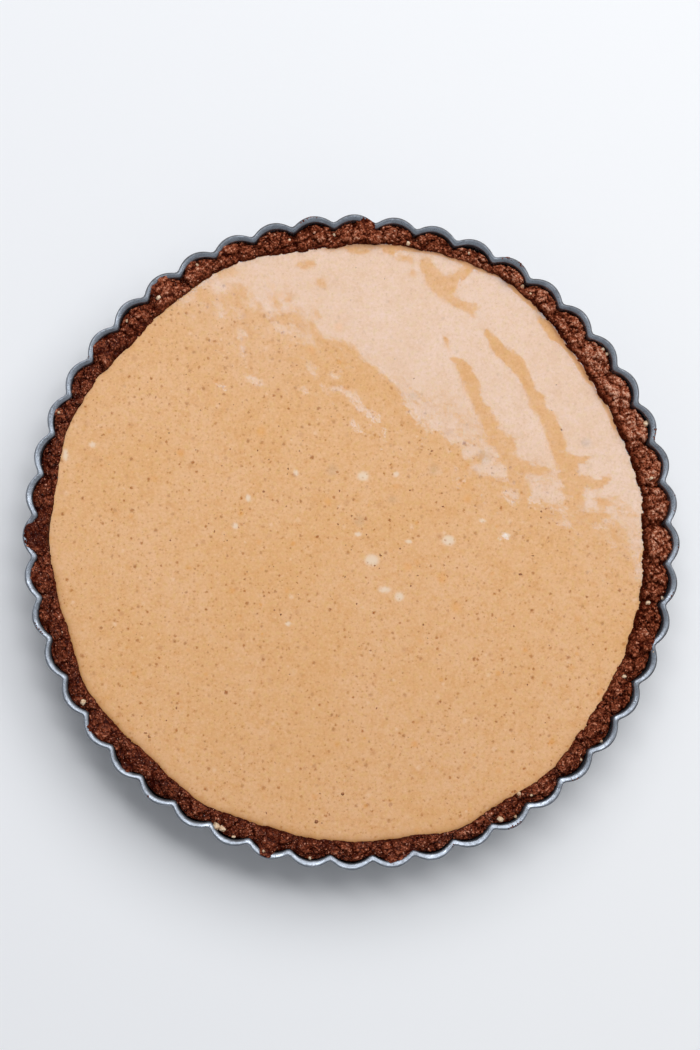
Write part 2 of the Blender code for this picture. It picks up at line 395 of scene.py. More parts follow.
# the filling: smooth peanut cream, with spatula strokes, bubbles and specks
filling = {
    "level": 22.4 * mm,
    "floor": 7.0 * mm,
    "below": ((-0.0024, 0.007), (0.0002, 0.0194)),  # the side's rings: how far out from the edge, and height
    "ringStep": 0.80 * mm,
    "steps": 960,
    "halveAt": (0.055, 0.027, 0.012),  # the radii inside which each ring has half the steps
    "under": 1.2 * mm,
    "swell": {"size": 0.045, "rise": 0.00003},
    "climb": {"rise": 0.12 * mm, "fade": 0.85 * mm, "uneven": 0.009},
    "colour": (0.818, 0.458, 0.208, 1),
    "warmer": (0.765, 0.395, 0.155, 1),
    "paler": (0.86, 0.518, 0.29, 1),
    "dark": (0.65, 0.3, 0.105, 1),
    "light": (0.93, 0.585, 0.335, 1),
    "yellow": (0.805, 0.475, 0.185, 1),
    "browned": (0.44, 0.2, 0.058, 1),
    # the colour that the painted shade mixes towards
    "paintedShadeColour": (0.28, 0.05, 0.006, 1),
    "orange": (0.86, 0.36, 0.06, 1),
    "grey": (0.42, 0.33, 0.25, 1),
    "bubble": (0.9, 0.71, 0.53, 1),
    "roughness": 0.046,
    "softer": 0.042,
    # patches of colour: size, detail, roughness, shift, where each begins and is full, share, colour
    "mottling": (
        (0.03, 2, 0.5, (0, 0), 0.35, 0.65, 0.5, "paler"),
        (0.0022, 3, 0.7, (9, 4), 0.48, 0.66, 0.7, "yellow"),
        (0.004, 4, 0.75, (3, 1), 0.47, 0.68, 0.65, "warmer"),
        (0.004, 4, 0.75, (3, 1), 0.49, 0.3, 0.6, "paler"),
        (0.0011, 4, 0.8, (1, 5), 0.5, 0.76, 0.8, "dark"),
        (0.0011, 4, 0.8, (1, 5), 0.5, 0.24, 0.75, "light"),
    ),
    # small specks of nut skin: how far apart, share of places filled, smallest, largest, strength, colour
    "specks": (
        (0.0017, 0.5, 0.00015, 0.00034, 0.65, (0.5, 0.18, 0.02, 1)),
        (0.0034, 0.55, 0.0002, 0.00052, 0.85, (0.42, 0.12, 0.008, 1)),
        (0.0066, 0.52, 0.00026, 0.00066, 0.92, (0.34, 0.09, 0.006, 1)),
        (0.013, 0.5, 0.00045, 0.0013, 0.45, (0.54, 0.22, 0.08, 1)),
        (0.0095, 0.35, 0.0004, 0.0012, 0.5, (0.8, 0.33, 0.05, 1)),
        (0.009, 0.4, 0.0003, 0.0009, 0.5, (0.95, 0.68, 0.47, 1)),
    ),
    # pale oval bubbles under the skin: x, y and half sizes in mm
    "bubbles": (
        (3.8, 23.5, 2, 1.6), (7, -7.3, 2.5, 2), (35.1, 0.1, 2.2, 1.8), (11.6, -18.1, 2.2, 1),
        (17, -20.6, 1.6, 1.5), (-20.8, 24.5, 0.9, 1), (-38.1, 15.1, 0.9, 1.3), (-42.9, 4.9, 1, 1.1),
        (15.8, 24.2, 1, 0.9), (-23.6, -30.8, 0.9, 0.8), (1.9, 2.1, 1.3, 0.7), (20.5, -0.4, 1.1, 0.7),
        (47.6, 7.4, 1.1, 0.7), (56.4, 2, 1.5, 0.9), (-104.6, 30.4, 1, 2.1), (-95, 34.2, 1.1, 0.9),
    ),
    # the crust's stain in the cream
    "brownedAt": ((200, 16, 0.9), (228, 18, 1), (262, 22, 1), (292, 10, 0.9), (313, 9, 0.35)),
    # where the skin is less glossy: x, y and radius in mm
    "softPlaces": ((31, 96, 13), (21, 101, 7)),
    # soft patches under the skin: x, y and radius in mm
    "orangePatches": (
        (40.3, 20.9, 1.8), (42.2, 15.4, 1.5), (32.7, -13.7, 1.6), (20, -9.7, 1.5), (37.8, -24.6, 1.6),
        (-9.2, 14, 1.3), (-26.8, 90, 1.2), (-5, 78.4, 1.5), (-33.5, 39.6, 1.6), (-15.3, 69.8, 1.4),
    ),
    "greyPatches": ((2.5, 7.1, 1.8), (29.8, 26, 1.8), (48.3, 31.1, 2.3), (-7.4, 25.6, 1.8), (22, 53, 1.5),
                    (86, 36.5, 1.6), (14.4, 15, 1.3)),
}

# The last strokes left low banks. One that leans back mirrors the dark of the room and looks warm, one that
# leans forward mirrors the window and looks pale. Each is a path of x, y and half width in mm.
strokes = {
    "towards": (0.529, 0.849),
    "mirrorEdge": 48.6,
    "reach": 1490,
    # each kind of stroke: how far past the mirror's edge it leans, and how soft its sides are in mm
    "kinds": (("warm", 0.0046, 1.8), ("faint", 0.0014, 3.4), ("pale", -0.006, 1.8)),
    "bites": {"points": 6, "every": 1.5, "size": 2.2, "deep": 2.0},  # in paths of so many points or more
    "clear": 0.0085,
    "fade": 22,
    "gridHalf": 126,
    "gridStep": 0.6,
    "wobble": ((6, 0.8), (3.2, 1.1), (1.8, 0.7)),  # each layer: size and shift in mm
    "tears": ((5, 0.012, 14), (2.4, 0.013, 11)),  # each layer: size in mm, tilt, and reach in mm
    # where the window's mirror image ends: along the edge and across it, in mm
    "edge": ((-92, 49), (-81, 55), (-70, 57), (-64, 60.5), (-55, 61.5), (-48, 59), (-39, 61.5), (-29, 59.5),
             (-22, 58.5), (-14, 55.5), (-8, 52), (-2, 50), (7, 49), (14, 51), (18, 48), (24, 46), (30, 48.5),
             (35, 47), (43, 44), (52, 49), (59, 54), (70, 58), (77, 60), (90, 50)),
    "edgeStep": 0.006,
    "warm": (
        ((49.4, 77.2, 1.8), (53.4, 72.3, 2.4), (58.4, 67, 2.9), (61.8, 63.7, 2.8), (65.5, 57.9, 2.6),
         (68.4, 51.5, 2.7), (71.3, 46.4, 2.9), (73.8, 40.6, 3), (75.3, 35.8, 2.8), (76.4, 31.8, 2.1),
         (80, 23.8, 3.4), (82.6, 17.3, 2.9)),
        ((33.9, 75.1, 1), (36, 71.5, 0.9)), ((77.5, 30.4, 1.5), (86.2, 30.7, 1.3)),
        ((82.6, 22.4, 2.5), (89.9, 20.9, 1.8), (94.2, 23.8, 1.1)), ((89.9, 14.3, 1.1), (96.4, 15.1, 1.1)),
        ((37.8, 67, 1.7), (41.1, 63.2, 2.5), (43.6, 59.9, 3), (44.7, 55.9, 2.8), (46.5, 51.1, 2.8),
         (49.1, 45.7, 2.7), (52.7, 39.5, 2.9), (55.6, 34.7, 3), (58.5, 30.4, 2.4), (60, 23.4, 2.8),
         (63.6, 18, 2.9)),
        ((60.7, 27.5, 2.2), (70.2, 27.1, 1.6)), ((-18.6, 101.7, 1.5), (-15, 102.1, 1.5)),
        ((-11.7, 95.5, 1.3), (-10.3, 94.1, 1.3)), ((-1.2, 106.5, 1.1), (5.8, 106.8, 1.1)),
        ((12.7, 106.8, 1.1), (15.6, 106.5, 1.1)), ((-49.2, 97.4, 1.1), (-43.4, 98.8, 1.1)),
        ((68.4, 82.8, 0.9), (71.3, 79.2, 1.6), (74.2, 75.9, 1.3), (76.8, 74.4, 0.5)),
    ),
    "faint": (
        ((26.8, 102.4, 2.6), (29, 99.3, 3.6), (31.2, 95.9, 4.2), (34.2, 93, 4.2), (36, 90.4, 3),
         (38.9, 88.3, 2.2), (43, 85.5, 1.6), (46, 81.5, 0.8)),
        ((36.1, 95.6, 2.6), (40.3, 99.2, 2.6)), ((18.1, 104.3, 1.8), (21.8, 103.9, 1.5)),
        ((21.4, 98.5, 1.3), (23.2, 98.1, 1.3)), ((45.5, 87.5, 1.2), (48.5, 84.8, 0.8)),
    ),
    "pale": (
        ((-27.4, 78.8, 1.8), (-24.1, 77, 1.8)), ((-20.8, 78.1, 1.6), (-18.3, 75.2, 1.5), (-14.6, 72.2, 0.9)),
        ((-16.1, 64.6, 1.3), (-13.9, 61.7, 1.1), (-12.5, 58.8, 0.5)), ((-7.4, 61.3, 1.2), (-4.8, 60.6, 0.9)),
        ((-11, 56.9, 0.5), (-7, 56.2, 1.3), (-1.5, 54.4, 2.2), (1.4, 51.1, 2.2), (4.7, 47.5, 1.8),
         (9, 44.9, 1.8)),
        ((-0.1, 43.1, 1.1), (3.2, 39.8, 1.1)), ((12.7, 40.9, 0.9), (12.7, 38.7, 0.9)),
        ((-48.9, 83.5, 1.5), (-47.8, 83.2, 1.5)), ((-40.5, 76.2, 1.3), (-39.8, 75.2, 1.3)),
        ((-40.5, 71.1, 1.3), (-40.1, 69, 1.3)), ((-38.3, 59.5, 1.5), (-33.2, 57.7, 1.5)),
        ((-47.8, 56.2, 1.1), (-46.3, 55.9, 1.1)), ((-17.9, 55.5, 1.2), (-17.2, 54.4, 1.2)),
        ((-62.3, 87.2, 1.3), (-58.3, 90.4, 1.5)), ((76.8, 6.7, 1.5), (79.3, 6.7, 1.5)),
        ((91, 6.3, 1.5), (93.1, 7.4, 1.5)), ((96, 9.2, 1.6), (99.7, 10.3, 1.5)),
        ((97.9, 14.3, 2.9), (102.2, 9.2, 3.3), (104.4, 2, 2.2), (105.5, -4.6, 1.5), (105.2, -12.6, 1.1)),
        ((58.5, 18, 1.1), (60, 15.4, 1.1)), ((54.5, 1.6, 0.9), (56.7, 0.9, 0.9)),
    ),
}
forward, sideways = strokes["towards"]


def mirrored(x, y):  # how far towards the window and how far sideways, or back from these to x and y
    return x * forward + y * sideways, x * sideways - y * forward


def farSide(x, y, low, high):  # 1 in the part of the pie towards the window, 0 elsewhere
    return ease(low, high, mirrored(x, y)[0] / (np.hypot(x, y) + 1e-9))


# the edge between crust and filling, read from the filling's solid
def readShore():
    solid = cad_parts["peanut_filling"]
    farthest = {}
    for vertex in solid.data.vertices:
        x, y, z = vertex.co
        if z > filling["level"] - 4 * mm:
            angle = round(math.atan2(y, x) % fullTurn, 3)
            farthest[angle] = max(farthest.get(angle, 0), math.hypot(x, y))
    edge = [(angle, radius) for angle, radius in sorted(farthest.items()) if radius > 0.1]
    return np.array(edge).T


shoreAngles, shoreRadii = readShore()
solidGap = 0.39 * mm


def shore(angle):
    return np.interp(angle % fullTurn, shoreAngles, shoreRadii, period=fullTurn) + solidGap


def inStroke(x, y, path, soft):  # 1 inside a path's width, 0 outside it
    inside = np.full(np.shape(x), -1e9)
    for (x0, y0, w0), (x1, y1, w1) in zip(path, path[1:]):
        dx, dy = x1 - x0, y1 - y0
        share = np.clip(((x - x0) * dx + (y - y0) * dy) / (dx * dx + dy * dy), 0, 1)
        away = np.hypot(x - x0 - share * dx, y - y0 - share * dy)
        inside = np.maximum(inside, w0 + share * (w1 - w0) - away)
    return ease(-soft / 2, soft / 2, inside)


def withBites(path):  # a long stroke gets bites and bulges along its right side
    bites = strokes["bites"]
    if len(path) < bites["points"]:
        return path
    made = []
    for (x0, y0, w0), (x1, y1, w1) in zip(path, path[1:]):
        parts = max(1, round(math.hypot(x1 - x0, y1 - y0) / bites["every"]))
        for share in np.arange(parts) / parts:
            x, y, width = x0 + share * (x1 - x0), y0 + share * (y1 - y0), w0 + share * (w1 - w0)
            bulge = bites["deep"] * float(bumpy(x, y, bites["size"], 51))
            made.append((x + 0.5 * bulge, y + 0.2 * bulge, max(0.5, width + 0.5 * bulge)))
    return made + [path[-1]]


def strokeRelief():  # heights in mm over a square grid: up = across the mirror's edge, side = along it
    ticks = np.arange(-strokes["gridHalf"], strokes["gridHalf"], strokes["gridStep"])
    up, side = np.meshgrid(ticks, ticks, indexing="ij")
    x, y = mirrored(up, side)
    stirX, stirY = x.copy(), y.copy()
    for layer, (size, shift) in enumerate(strokes["wobble"]):
        stirX += shift * bumpy(x, y, size, 11 + layer)
        stirY += shift * bumpy(x, y, size, 21 + layer)
    reach = strokes["reach"]
    needed = (up - strokes["mirrorEdge"]) / reach
    edgeSide, edgeUp = np.array(strokes["edge"]).T
    beyond = mirrored(stirX, stirY)[0] - np.interp(side, edgeSide, edgeUp)
    away = np.abs(beyond)
    crisp = ease(-62, -42, side)  # the edge is soft and torn towards the left, and torn again at the right
    torn = 1.3 - 0.95 * crisp + 0.65 * ease(-12, 8, side)
    least = strokes["edgeStep"] * (0.6 + 0.4 * crisp) * ease(0, 1.2 + 1.6 * (1 - crisp), away)
    least = np.minimum(least + 0.7 * away / reach, strokes["clear"])
    wanted = np.where(beyond > 0, np.maximum(needed, least), np.minimum(needed, -least))
    tilt = needed - wanted
    for layer, (size, lean, within) in enumerate(strokes["tears"]):
        tilt = tilt + lean * (1 - ease(4, within, away)) * torn * bumpy(x, y, size, 31 + layer)
    held = np.zeros(x.shape)
    for kind, margin, soft in strokes["kinds"]:
        for path in strokes[kind]:
            inside = inStroke(stirX, stirY, withBites(path), soft)
            tilt = tilt * (1 - inside) + (needed + margin) * inside
            held = np.maximum(held, inside)
    heights = np.zeros(x.shape)
    for row in range(1, len(ticks)):
        before = heights[row - 1]
        heights[row] = before + strokes["gridStep"] * (tilt[row] - (1 - held[row]) * before / strokes["fade"])
    return ticks, heights


strokeTicks, strokeHeights = strokeRelief()
print("strokes worked out")


def strokeHeight(x, y):  # from the grid, in metres
    places = np.array(mirrored(x, y)) / mm
    row, column = np.clip((places - strokeTicks[0]) / strokes["gridStep"], 0, len(strokeTicks) - 2)
    i, j = row.astype(int), column.astype(int)
    a, b = row - i, column - j
    low, high = (strokeHeights[k, j] * (1 - b) + strokeHeights[k, j + 1] * b for k in (i, i + 1))
    return (low * (1 - a) + high * a) * mm


def fillingHeights(x, y):
    swell, climb = filling["swell"], filling["climb"]
    heights = filling["level"] + swell["rise"] * bumpy(x, y, swell["size"], 1) + strokeHeight(x, y)
    # at the far side the cream climbs a little up the crust
    rise = climb["rise"] * farSide(x, y, 0.70, 0.95) * (1 + 0.8 * bumpy(x, y, climb["uneven"], 8))
    fromCrust = shore(np.arctan2(y, x)) - np.hypot(x, y)
    return heights + rise * np.exp(-np.maximum(fromCrust, 0) / climb["fade"])


def fillingMaterial():
    material, tree = newMaterial("peanutCream")
    colour = filling["colour"]
    for size, detail, rough, shift, low, high, share, other in filling["mottling"]:
        patches = cloud(placeIn(tree, (1, 1, 0.3), (*shift, 0)), size, detail, rough)
        colour = blend(between(patches, low, high, 0, share), colour, filling[other])
    for name in ("orange", "grey", "bubble", "browned"):
        colour = blend(painted(tree, name), colour, filling[name])
    thick = between(cloud(placeIn(tree, (1, 1, 0), (5, 2, 0)), 0.014), 0.38, 0.62, 0.6, 1.0)
    thick = times(thick, painted(tree, "speckled"))
    for index, (spacing, share, smallest, largest, strength, other) in enumerate(filling["specks"]):
        spread = ragged(placeIn(tree, (1, 1, 1), (0.037 * index, 0.011 * index, 0)), 0.0006, 0.0011)
        mask = dots(spread, spacing, share, smallest, largest, 0.7)
        colour = blend(times(times(mask, strength), thick), colour, other)
    ripple = cloud(placeIn(tree, (1, 1, 0), (2, 7, 0)), 0.0020, 3)
    return finished(material, {
        # painted shade: the cream mixed towards a deep brown where it lies in shade
        "Base Color": blend(painted(tree, "dim"), colour, filling["paintedShadeColour"]),
        "Roughness": times(painted(tree, "soft"), filling["softer"], filling["roughness"]),
        "Normal": bumpFrom(ripple, 0.000022),
        "IOR": 1.46,
        "Specular Tint": (0.22, 0.64, 1.0, 1),
        "Subsurface Weight": 0.10,
        "Subsurface Radius": (0.0016, 0.0009, 0.0005),
        "Subsurface Scale": 1.0,
    })


def softOvals(x, y, ovals, soft, strength):  # 1 in the middle of each oval, fading at its edge
    found = np.zeros(np.shape(x))
    for oval in ovals:
        away = np.hypot((x / mm - oval[0]) / oval[2], (y / mm - oval[1]) / oval[-1])
        found = np.maximum(found, strength * (1 - ease(1 - soft, 1 + soft, away)))
    return found


def makeFilling():
    around = stepsRound(filling["steps"])
    rings = [polar(shore(around) + outwards, around, height) for outwards, height in filling["below"]]
    outside = float(shoreRadii.min())
    share = 1 + filling["under"] / outside
    while share * outside > filling["ringStep"]:
        angles = stepsRound(filling["steps"] >> sum(share * outside <= limit for limit in filling["halveAt"]))
        ring = polar(shore(angles) * share, angles, 0)
        ring[:, 2] = fillingHeights(ring[:, 0], ring[:, 1])
        rings.append(ring)
        share -= filling["ringStep"] / outside
    top = float(fillingHeights(np.zeros(1), np.full(1, 1e-6))[0])
    vertices, faces = closedTurning(rings, filling["floor"], top)
    piece = dress("peanutCreamFilling", vertices, faces, fillingMaterial())
    x, y, _ = vertices.T
    turn = np.arctan2(y, x)
    fromCrust = shore(turn) - np.hypot(x, y)
    beside = np.maximum(fromCrust - 0.2 * mm, 0)
    stain = 0.95 * np.exp(-beside / 0.00095) + 0.04 * (1 - ease(0, 0.010, fromCrust))
    up, side = np.array(mirrored(x, y)) / mm
    beyond = up - strokes["mirrorEdge"]
    soft = np.maximum(ease(-28, -60, side), softOvals(x, y, filling["softPlaces"], 0.6, 0.8))
    nearStreaks = 0.35 * ease(-8, 12, side) * ease(-12, 4, beyond)
    # painted shade: a little over all the cream, more towards the bottom, where the window's light falls off
    dim = 0.02 + 0.06 * ease(0.03, -0.11, y) * (1 - 0.4 * ease(0.03, 0.09, np.abs(x)))
    paint(
        piece,
        bubble=softOvals(x, y, filling["bubbles"], 0.45, 0.85),
        orange=softOvals(x, y, filling["orangePatches"], 0.8, 0.35),
        grey=softOvals(x, y, filling["greyPatches"], 0.8, 0.22),
        browned=0.12 * (1 - ease(0, 0.0012, fromCrust)) + aroundAngle(turn, filling["brownedAt"]) * stain,
        speckled=1 - 0.75 * ease(0, 14, beyond),  # fewer specks show towards the far side
        soft=np.maximum(soft, nearStreaks),
        # painted shade beside the crust on the window's side, where the crust shades the cream
        dim=dim + 0.56 * farSide(x, y, 0.72, 0.92) * np.exp(-beside / 0.0009),
    )
    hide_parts("peanut_filling")


makeFilling()
print("filling made")


# the crust: dark crumbs pressed into the tin, craggy at the top
crust = {
    "steps": 2160,
    "topRings": 38,
    "middleRadius": 0.113,
    "closest": 2.3,
    "rimHeight": 24.3 * mm,
    "highest": 26.5 * mm,
    "shoulder": 16.0 * mm,
    "foot": 1.1 * mm,
    "middle": 9.0 * mm,
    "shelf": 6.6 * mm,
    "inner": ((0.0004, 0.0205), (0.002, 0.0066)),  # the inside's rings: how far in from the edge, and height
    "gap": 0.3 * mm,
    "arch": 0.8 * mm,
    "outerDrop": 2.4 * mm,
    "innerDrop": 2.4 * mm,
    "notch": {"deep": 2.4 * mm, "wide": 1.5 * mm},
    # lumps within lumps: size, unevenness and dome in mm, how dark the creases are painted (painted shade),
    # how mixed the tones
    "lumps": (
        (5.2, 1.5, 1, 0.4, 0.3),
        (2.5, 0.9, 0.35, 0.2, 0.5),
        (1.2, 0.5, 0.4, 0.42, 0.8),
        (0.68, 0.3, 0.28, 0.45, 1),
    ),
    "roughest": math.radians(40),
    "pressedShare": 0.5,
    # painted light: the rim paler towards the window, where its crags stand in the light and catch glints
    "paintedLightAt": ((8, 14, 1.1), (30, 14, 1.9), (60, 12, 0.8), (92, 12, 0.35), (120, 12, 0.4)),
    # hollows beside the tin, with painted shade in them
    "hollowAt": ((166, 3.6, 0.85), (173.5, 2, 0.4), (151, 2, 0.4), (224.5, 2.2, 0.6), (232.5, 2.6, 0.7),
                 (100.5, 2.2, 0.5)),
    "hollowDepth": 1.3 * mm,
    # painted shade: a dark band beside the cream, where the crust's inner face lies in its own shade
    "wetAt": ((22, 42, 1), (95, 30, 0.45), (270, 32, 0.5)),
    "smoothAt": ((178.5, 3, 0.9), (141.5, 2.5, 0.5), (207, 4, 0.4), (257, 4, 0.4), (228, 4, 0.3)),
    # crumbs over the lip
    "coverAt": (
        (87.3, 1.7, 1), (114.3, 1.2, 0.5), (121, 1, 0.5), (127.3, 2.2, 0.75), (143.5, 1.2, 0.6),
        (157, 0.8, 0.4), (179.6, 2.4, 1), (187, 1.2, 0.5), (217, 2.4, 0.7), (225.5, 1, 0.6),
        (254.5, 1.3, 1), (278.5, 2.6, 0.6), (341, 1.3, 0.9),
    ),
    # how far each flute's lump keeps inside the lip's outer edge, in mm
    "reach": (
        2.3, 2.4, 2.7, 3.2, 3, 2.7, 2.4, 2.6, 2.8, 3.3, 2.8, 2.5,
        2.4, 2.8, 2.4, 2.3, 2.3, 2.6, 2.9, 2.3, 2.5, 2.6, 2.8, 2.5,
        1.5, 1.6, 2.6, 2.7, 2.5, 2.6, 2.9, 3.1, 3, 3, 2.9, 2.9,
        3, 3.1, 3, 3, 2.9, 2.7, 3.1, 3.1, 2.8, 3.1, 2.8, 3,
    ),
    "shine": {"roughness": 0.4, "gloss": 0.04, "coat": 0.05},
    "hiddenTone": 0.05,
    # from 0, the darkest tone, to 1, the palest
    "tones": (
        (0, (0.02, 0.0009, 0.0002, 1)),
        (0.12, (0.052, 0.0048, 0.0011, 1)),
        (0.28, (0.115, 0.0225, 0.0088, 1)),
        (0.55, (0.28, 0.066, 0.028, 1)),
        (0.8, (0.49, 0.172, 0.092, 1)),
        (1, (0.7, 0.39, 0.27, 1)),
    ),
}


def roughShare(angle):
    pressed = crust["pressedShare"] * (1 - np.cos(angle - crust["roughest"])) / 2
    return (1 - pressed) * (1 - aroundAngle(angle, crust["smoothAt"]))


def wetShare(angle):  # the pressed side of the rim looks wet
    return ease(0.92, 0.60, roughShare(angle))


def rimOutside(angle):  # it touches the tin in the valleys and keeps off it within the flutes
    flute = (angle - tin["firstFlute"]) / fullTurn * tin["flutes"]
    reach = np.interp(flute, range(tin["flutes"]), crust["reach"], period=tin["flutes"])
    reach = crust["closest"] + 1.25 * (reach - crust["closest"]) * (1 - (2 * acrossFlute(angle)) ** 3)
    wall = wallInside(angle, crust["rimHeight"]) - 0.0001
    return np.minimum(wall, lipEdge(angle) - reach * mm)


def rimEdge(angle):  # the rim's outer edge, over the lip where crumbs cover it
    cover = aroundAngle(angle, crust["coverAt"])
    onLip = lipEdge(angle) - 0.4 * mm
    return rimOutside(angle) * (1 - cover) + onLip * cover, cover


def evenOut(tone):  # keeps bright tones from running up to the palest
    return 1.12 * (1 - np.exp(-1.05 * tone))


def rimSurface(angle, across):  # the craggy top, from the outer shoulder at 0 to the filling's edge at 1
    outside, cover = rimEdge(angle)
    inside = shore(angle) - 0.6 * mm
    radius = outside + (inside - outside) * across
    x, y = radius * np.cos(angle), radius * np.sin(angle)
    stirX, stirY = (place + 0.0009 * bumpy(x, y, 0.0032, layer) for place, layer in ((x, 1), (y, 2)))
    rough = roughShare(angle)
    arch = np.sin(np.pi * across)
    relief, shade = np.zeros(x.shape), np.ones(x.shape)
    for layer, (size, uneven, domed, crease, mixed) in enumerate(crust["lumps"]):
        dome, chance = lumps(stirX, stirY, size * mm, 40 + 5 * layer)
        relief += (uneven * (chance - 0.5) + domed * (dome - 0.85)) * mm
        # painted shade in the creases between the lumps
        crease = crease * (1.15 - 0.15 * rough)
        shade *= 1 - crease + crease * ease(0.1, 1.0, dome)
        shade *= 1 + mixed * (0.4 + 0.6 * rough) * (chance - 0.5)
    fromNotch = (0.5 - acrossFlute(angle)) * fullTurn * radius / tin["flutes"]
    cleft = 0.15 + 0.85 * ease(0.5, 1.0, rough)  # the notches are deep only where the rim is rugged
    notch = crust["notch"]["deep"] * np.exp(-(fromNotch / crust["notch"]["wide"]) ** 2) * (1 - across) * cleft
    touching = (1 - cleft) * (2 * acrossFlute(angle)) ** 3
    if across < 0.5:
        drop = crust["outerDrop"] * (1 - 2 * across) ** 4 * (1 - 0.75 * touching) * (0.5 + 0.5 * cleft)
    else:
        drop = crust["innerDrop"] * (2 * across - 1) ** 3
    hollow = aroundAngle(angle, crust["hollowAt"]) * (1 - ease(0.30, 0.62, across))
    bare = 1 - 0.7 * ease(0.80, 1.0, across)  # the crags end where the filling meets the crust
    height = crust["rimHeight"] - drop - notch + relief * (0.3 + 0.7 * rough) * bare
    height += crust["arch"] * arch * (1 - rough) - crust["hollowDepth"] * hollow
    nearCream = ease(2.0 * mm, 1.4 * mm, radius - shore(angle))  # no cream shows through the crags
    overCream = 0.15 - 4 * (1 - nearCream) - 3 * ease(0.9, 1.0, across)
    height = np.maximum(height, fillingHeights(x, y) + overCream * mm)
    cover = cover * (1 - ease(0.75, 1.0, across))
    onLip = lipTop + 0.3 * mm + 0.25 * relief
    height = np.maximum(height, onLip * cover + height * (1 - cover))
    height = np.minimum(height, crust["highest"] - 0.0002 * (1 - np.clip(relief / 0.002, 0, 1)))
    radius = radius + 0.0005 * arch * (1 - cover) * bumpy(x, y, 0.0022, 5)
    points = polar(radius, angle + 0.0004 * arch * bumpy(x, y, 0.0022, 6) / crust["middleRadius"], height)
    # the tone: painted shade in the creases, painted light towards the window, and darker on the pressed side
    tone = 0.88 * shade ** 1.5 * (1 + aroundAngle(angle, crust["paintedLightAt"])) * (1 - 0.75 * (1 - rough))
    tone = tone * (1 + 0.45 * bumpy(x, y, 0.0045, 7))
    # painted shade in the notches between the flutes' lumps
    tone = tone * (1 - 0.8 * cleft * np.exp(-(fromNotch / 0.0013) ** 2) * (1 - 0.8 * across))
    lit = np.maximum(ease(0.0, 0.03 + 0.06 * cleft, across), np.maximum(cover, touching))
    tone = evenOut(tone * (0.1 + 0.9 * lit) * (1 - 0.7 * hollow))  # painted shade down by the wall and in the hollows
    # painted shade beside the cream, deeper at these places
    wet = aroundAngle(angle, crust["wetAt"])
    return points, tone * (1 - (0.4 + 0.42 * wet) * ease(0.86 - 0.20 * wet, 0.97 - 0.06 * wet, across))


def crumbMaterial(name, roughness, gloss, coat):
    material, tree = newMaterial(name)
    place = placeIn(tree)
    grain = cloud(place, 0.0008, 4, 0.7)
    tone = times(painted(tree, "tone"), 1, between(grain, 0.25, 0.75, -0.16, 0.16))
    return finished(material, {
        "Base Color": rampColours(tone, crust["tones"]),
        "Roughness": roughness,
        "Specular IOR Level": gloss,
        "Specular Tint": (1.0, 0.64, 0.50, 1),
        # the coat: a wet gloss on the pressed side
        "Coat Weight": times(painted(tree, "wet"), coat),
        "Coat Roughness": 0.22,
        "Normal": bumpFrom(cloud(place, 0.0004, 3, 0.65), 0.00010, 0.7),
    })


def makeCrust():
    angles = stepsRound(crust["steps"])
    wallHeights = (crust["foot"], crust["middle"], crust["shoulder"])
    under = [polar(wallInside(angles, height) - crust["gap"], angles, height) for height in wallHeights]
    top = [rimSurface(angles, across) for across in np.linspace(0, 1, crust["topRings"])]
    neckTop = np.minimum(top[0][0][:, 2], lipTop - 1.2 * mm) - 0.3 * mm
    neck = polar(rimOutside(angles), angles, neckTop)
    under += [under[2] * 0.5 + neck * 0.5, neck]
    inner = [polar(shore(angles) - inwards, angles, height) for inwards, height in crust["inner"]]
    points, tones = (np.array(part) for part in zip(*top))
    vertices, faces = closedTurning([*under, *points, *inner], crust["foot"], crust["shelf"])
    tone = np.full(len(vertices), crust["hiddenTone"])
    first = len(under) * len(angles)
    tone[first:first + tones.size] = tones.ravel()
    piece = dress("crumbCrust", vertices, faces, crumbMaterial("pressedCrumb", **crust["shine"]))
    paint(piece, tone=tone, wet=wetShare(angleOf(vertices)))
    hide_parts("crumb_crust")
    return points, tones


rimRings, rimTones = makeCrust()
print("crust made")


# loose and half-buried crumbs over the rim, one mesh for each kind
def icosahedron():
    golden = (1 + math.sqrt(5)) / 2
    signs = [(a, b) for a in (-1, 1) for b in (-golden, golden)]
    corners = [corner for a, b in signs for corner in ((a, b, 0), (0, a, b), (b, 0, a))]
    corners = np.array(corners, dtype=float) / math.hypot(1, golden)
    faces = []
    for i, j, k in combinations(range(len(corners)), 3):
        a, b, c = corners[[i, j, k]]
        if max(np.linalg.norm(side) for side in (a - b, b - c, a - c)) < 1.2:  # neighbours only
            faces.append((i, j, k) if np.cross(b - a, c - a) @ a > 0 else (i, k, j))
    return corners, np.array(faces)


def randomTurns(rng, count):  # evenly random rotations
    q = rng.normal(size=(count, 4))
    w, x, y, z = (q / np.linalg.norm(q, axis=1, keepdims=True)).T
    return np.array([
        [1 - 2 * (y * y + z * z), 2 * (x * y - z * w), 2 * (x * z + y * w)],
        [2 * (x * y + z * w), 1 - 2 * (x * x + z * z), 2 * (y * z - x * w)],
        [2 * (x * z - y * w), 2 * (y * z + x * w), 1 - 2 * (x * x + y * y)],
    ]).transpose(2, 0, 1)


def crumbMesh(name, rng, centres, radii, tones, material, uneven=0.26):
    corners, triangles = icosahedron()
    count, each = len(centres), len(corners)
    shape = corners[None] * (1 + uneven * rng.uniform(-1, 1, (count, each, 1)))
    shape = shape * rng.uniform(0.7, 1.15, (count, 1, 3))
    shape = np.einsum("nij,nkj->nki", randomTurns(rng, count), shape)
    vertices = (centres[:, None] + shape * radii[:, None, None]).reshape(-1, 3)
    vertices[:, 2] = np.minimum(vertices[:, 2], crumbs["ceiling"])
    faces = (triangles[None] + each * np.arange(count)[:, None, None]).reshape(-1, 3)
    piece = dress(name, vertices, faces.tolist(), material, smooth=False)
    mixed = np.repeat(tones, each) + 0.06 * rng.uniform(-1, 1, each * count)
    paint(piece, tone=mixed, wet=np.repeat(wetShare(angleOf(centres)), each))


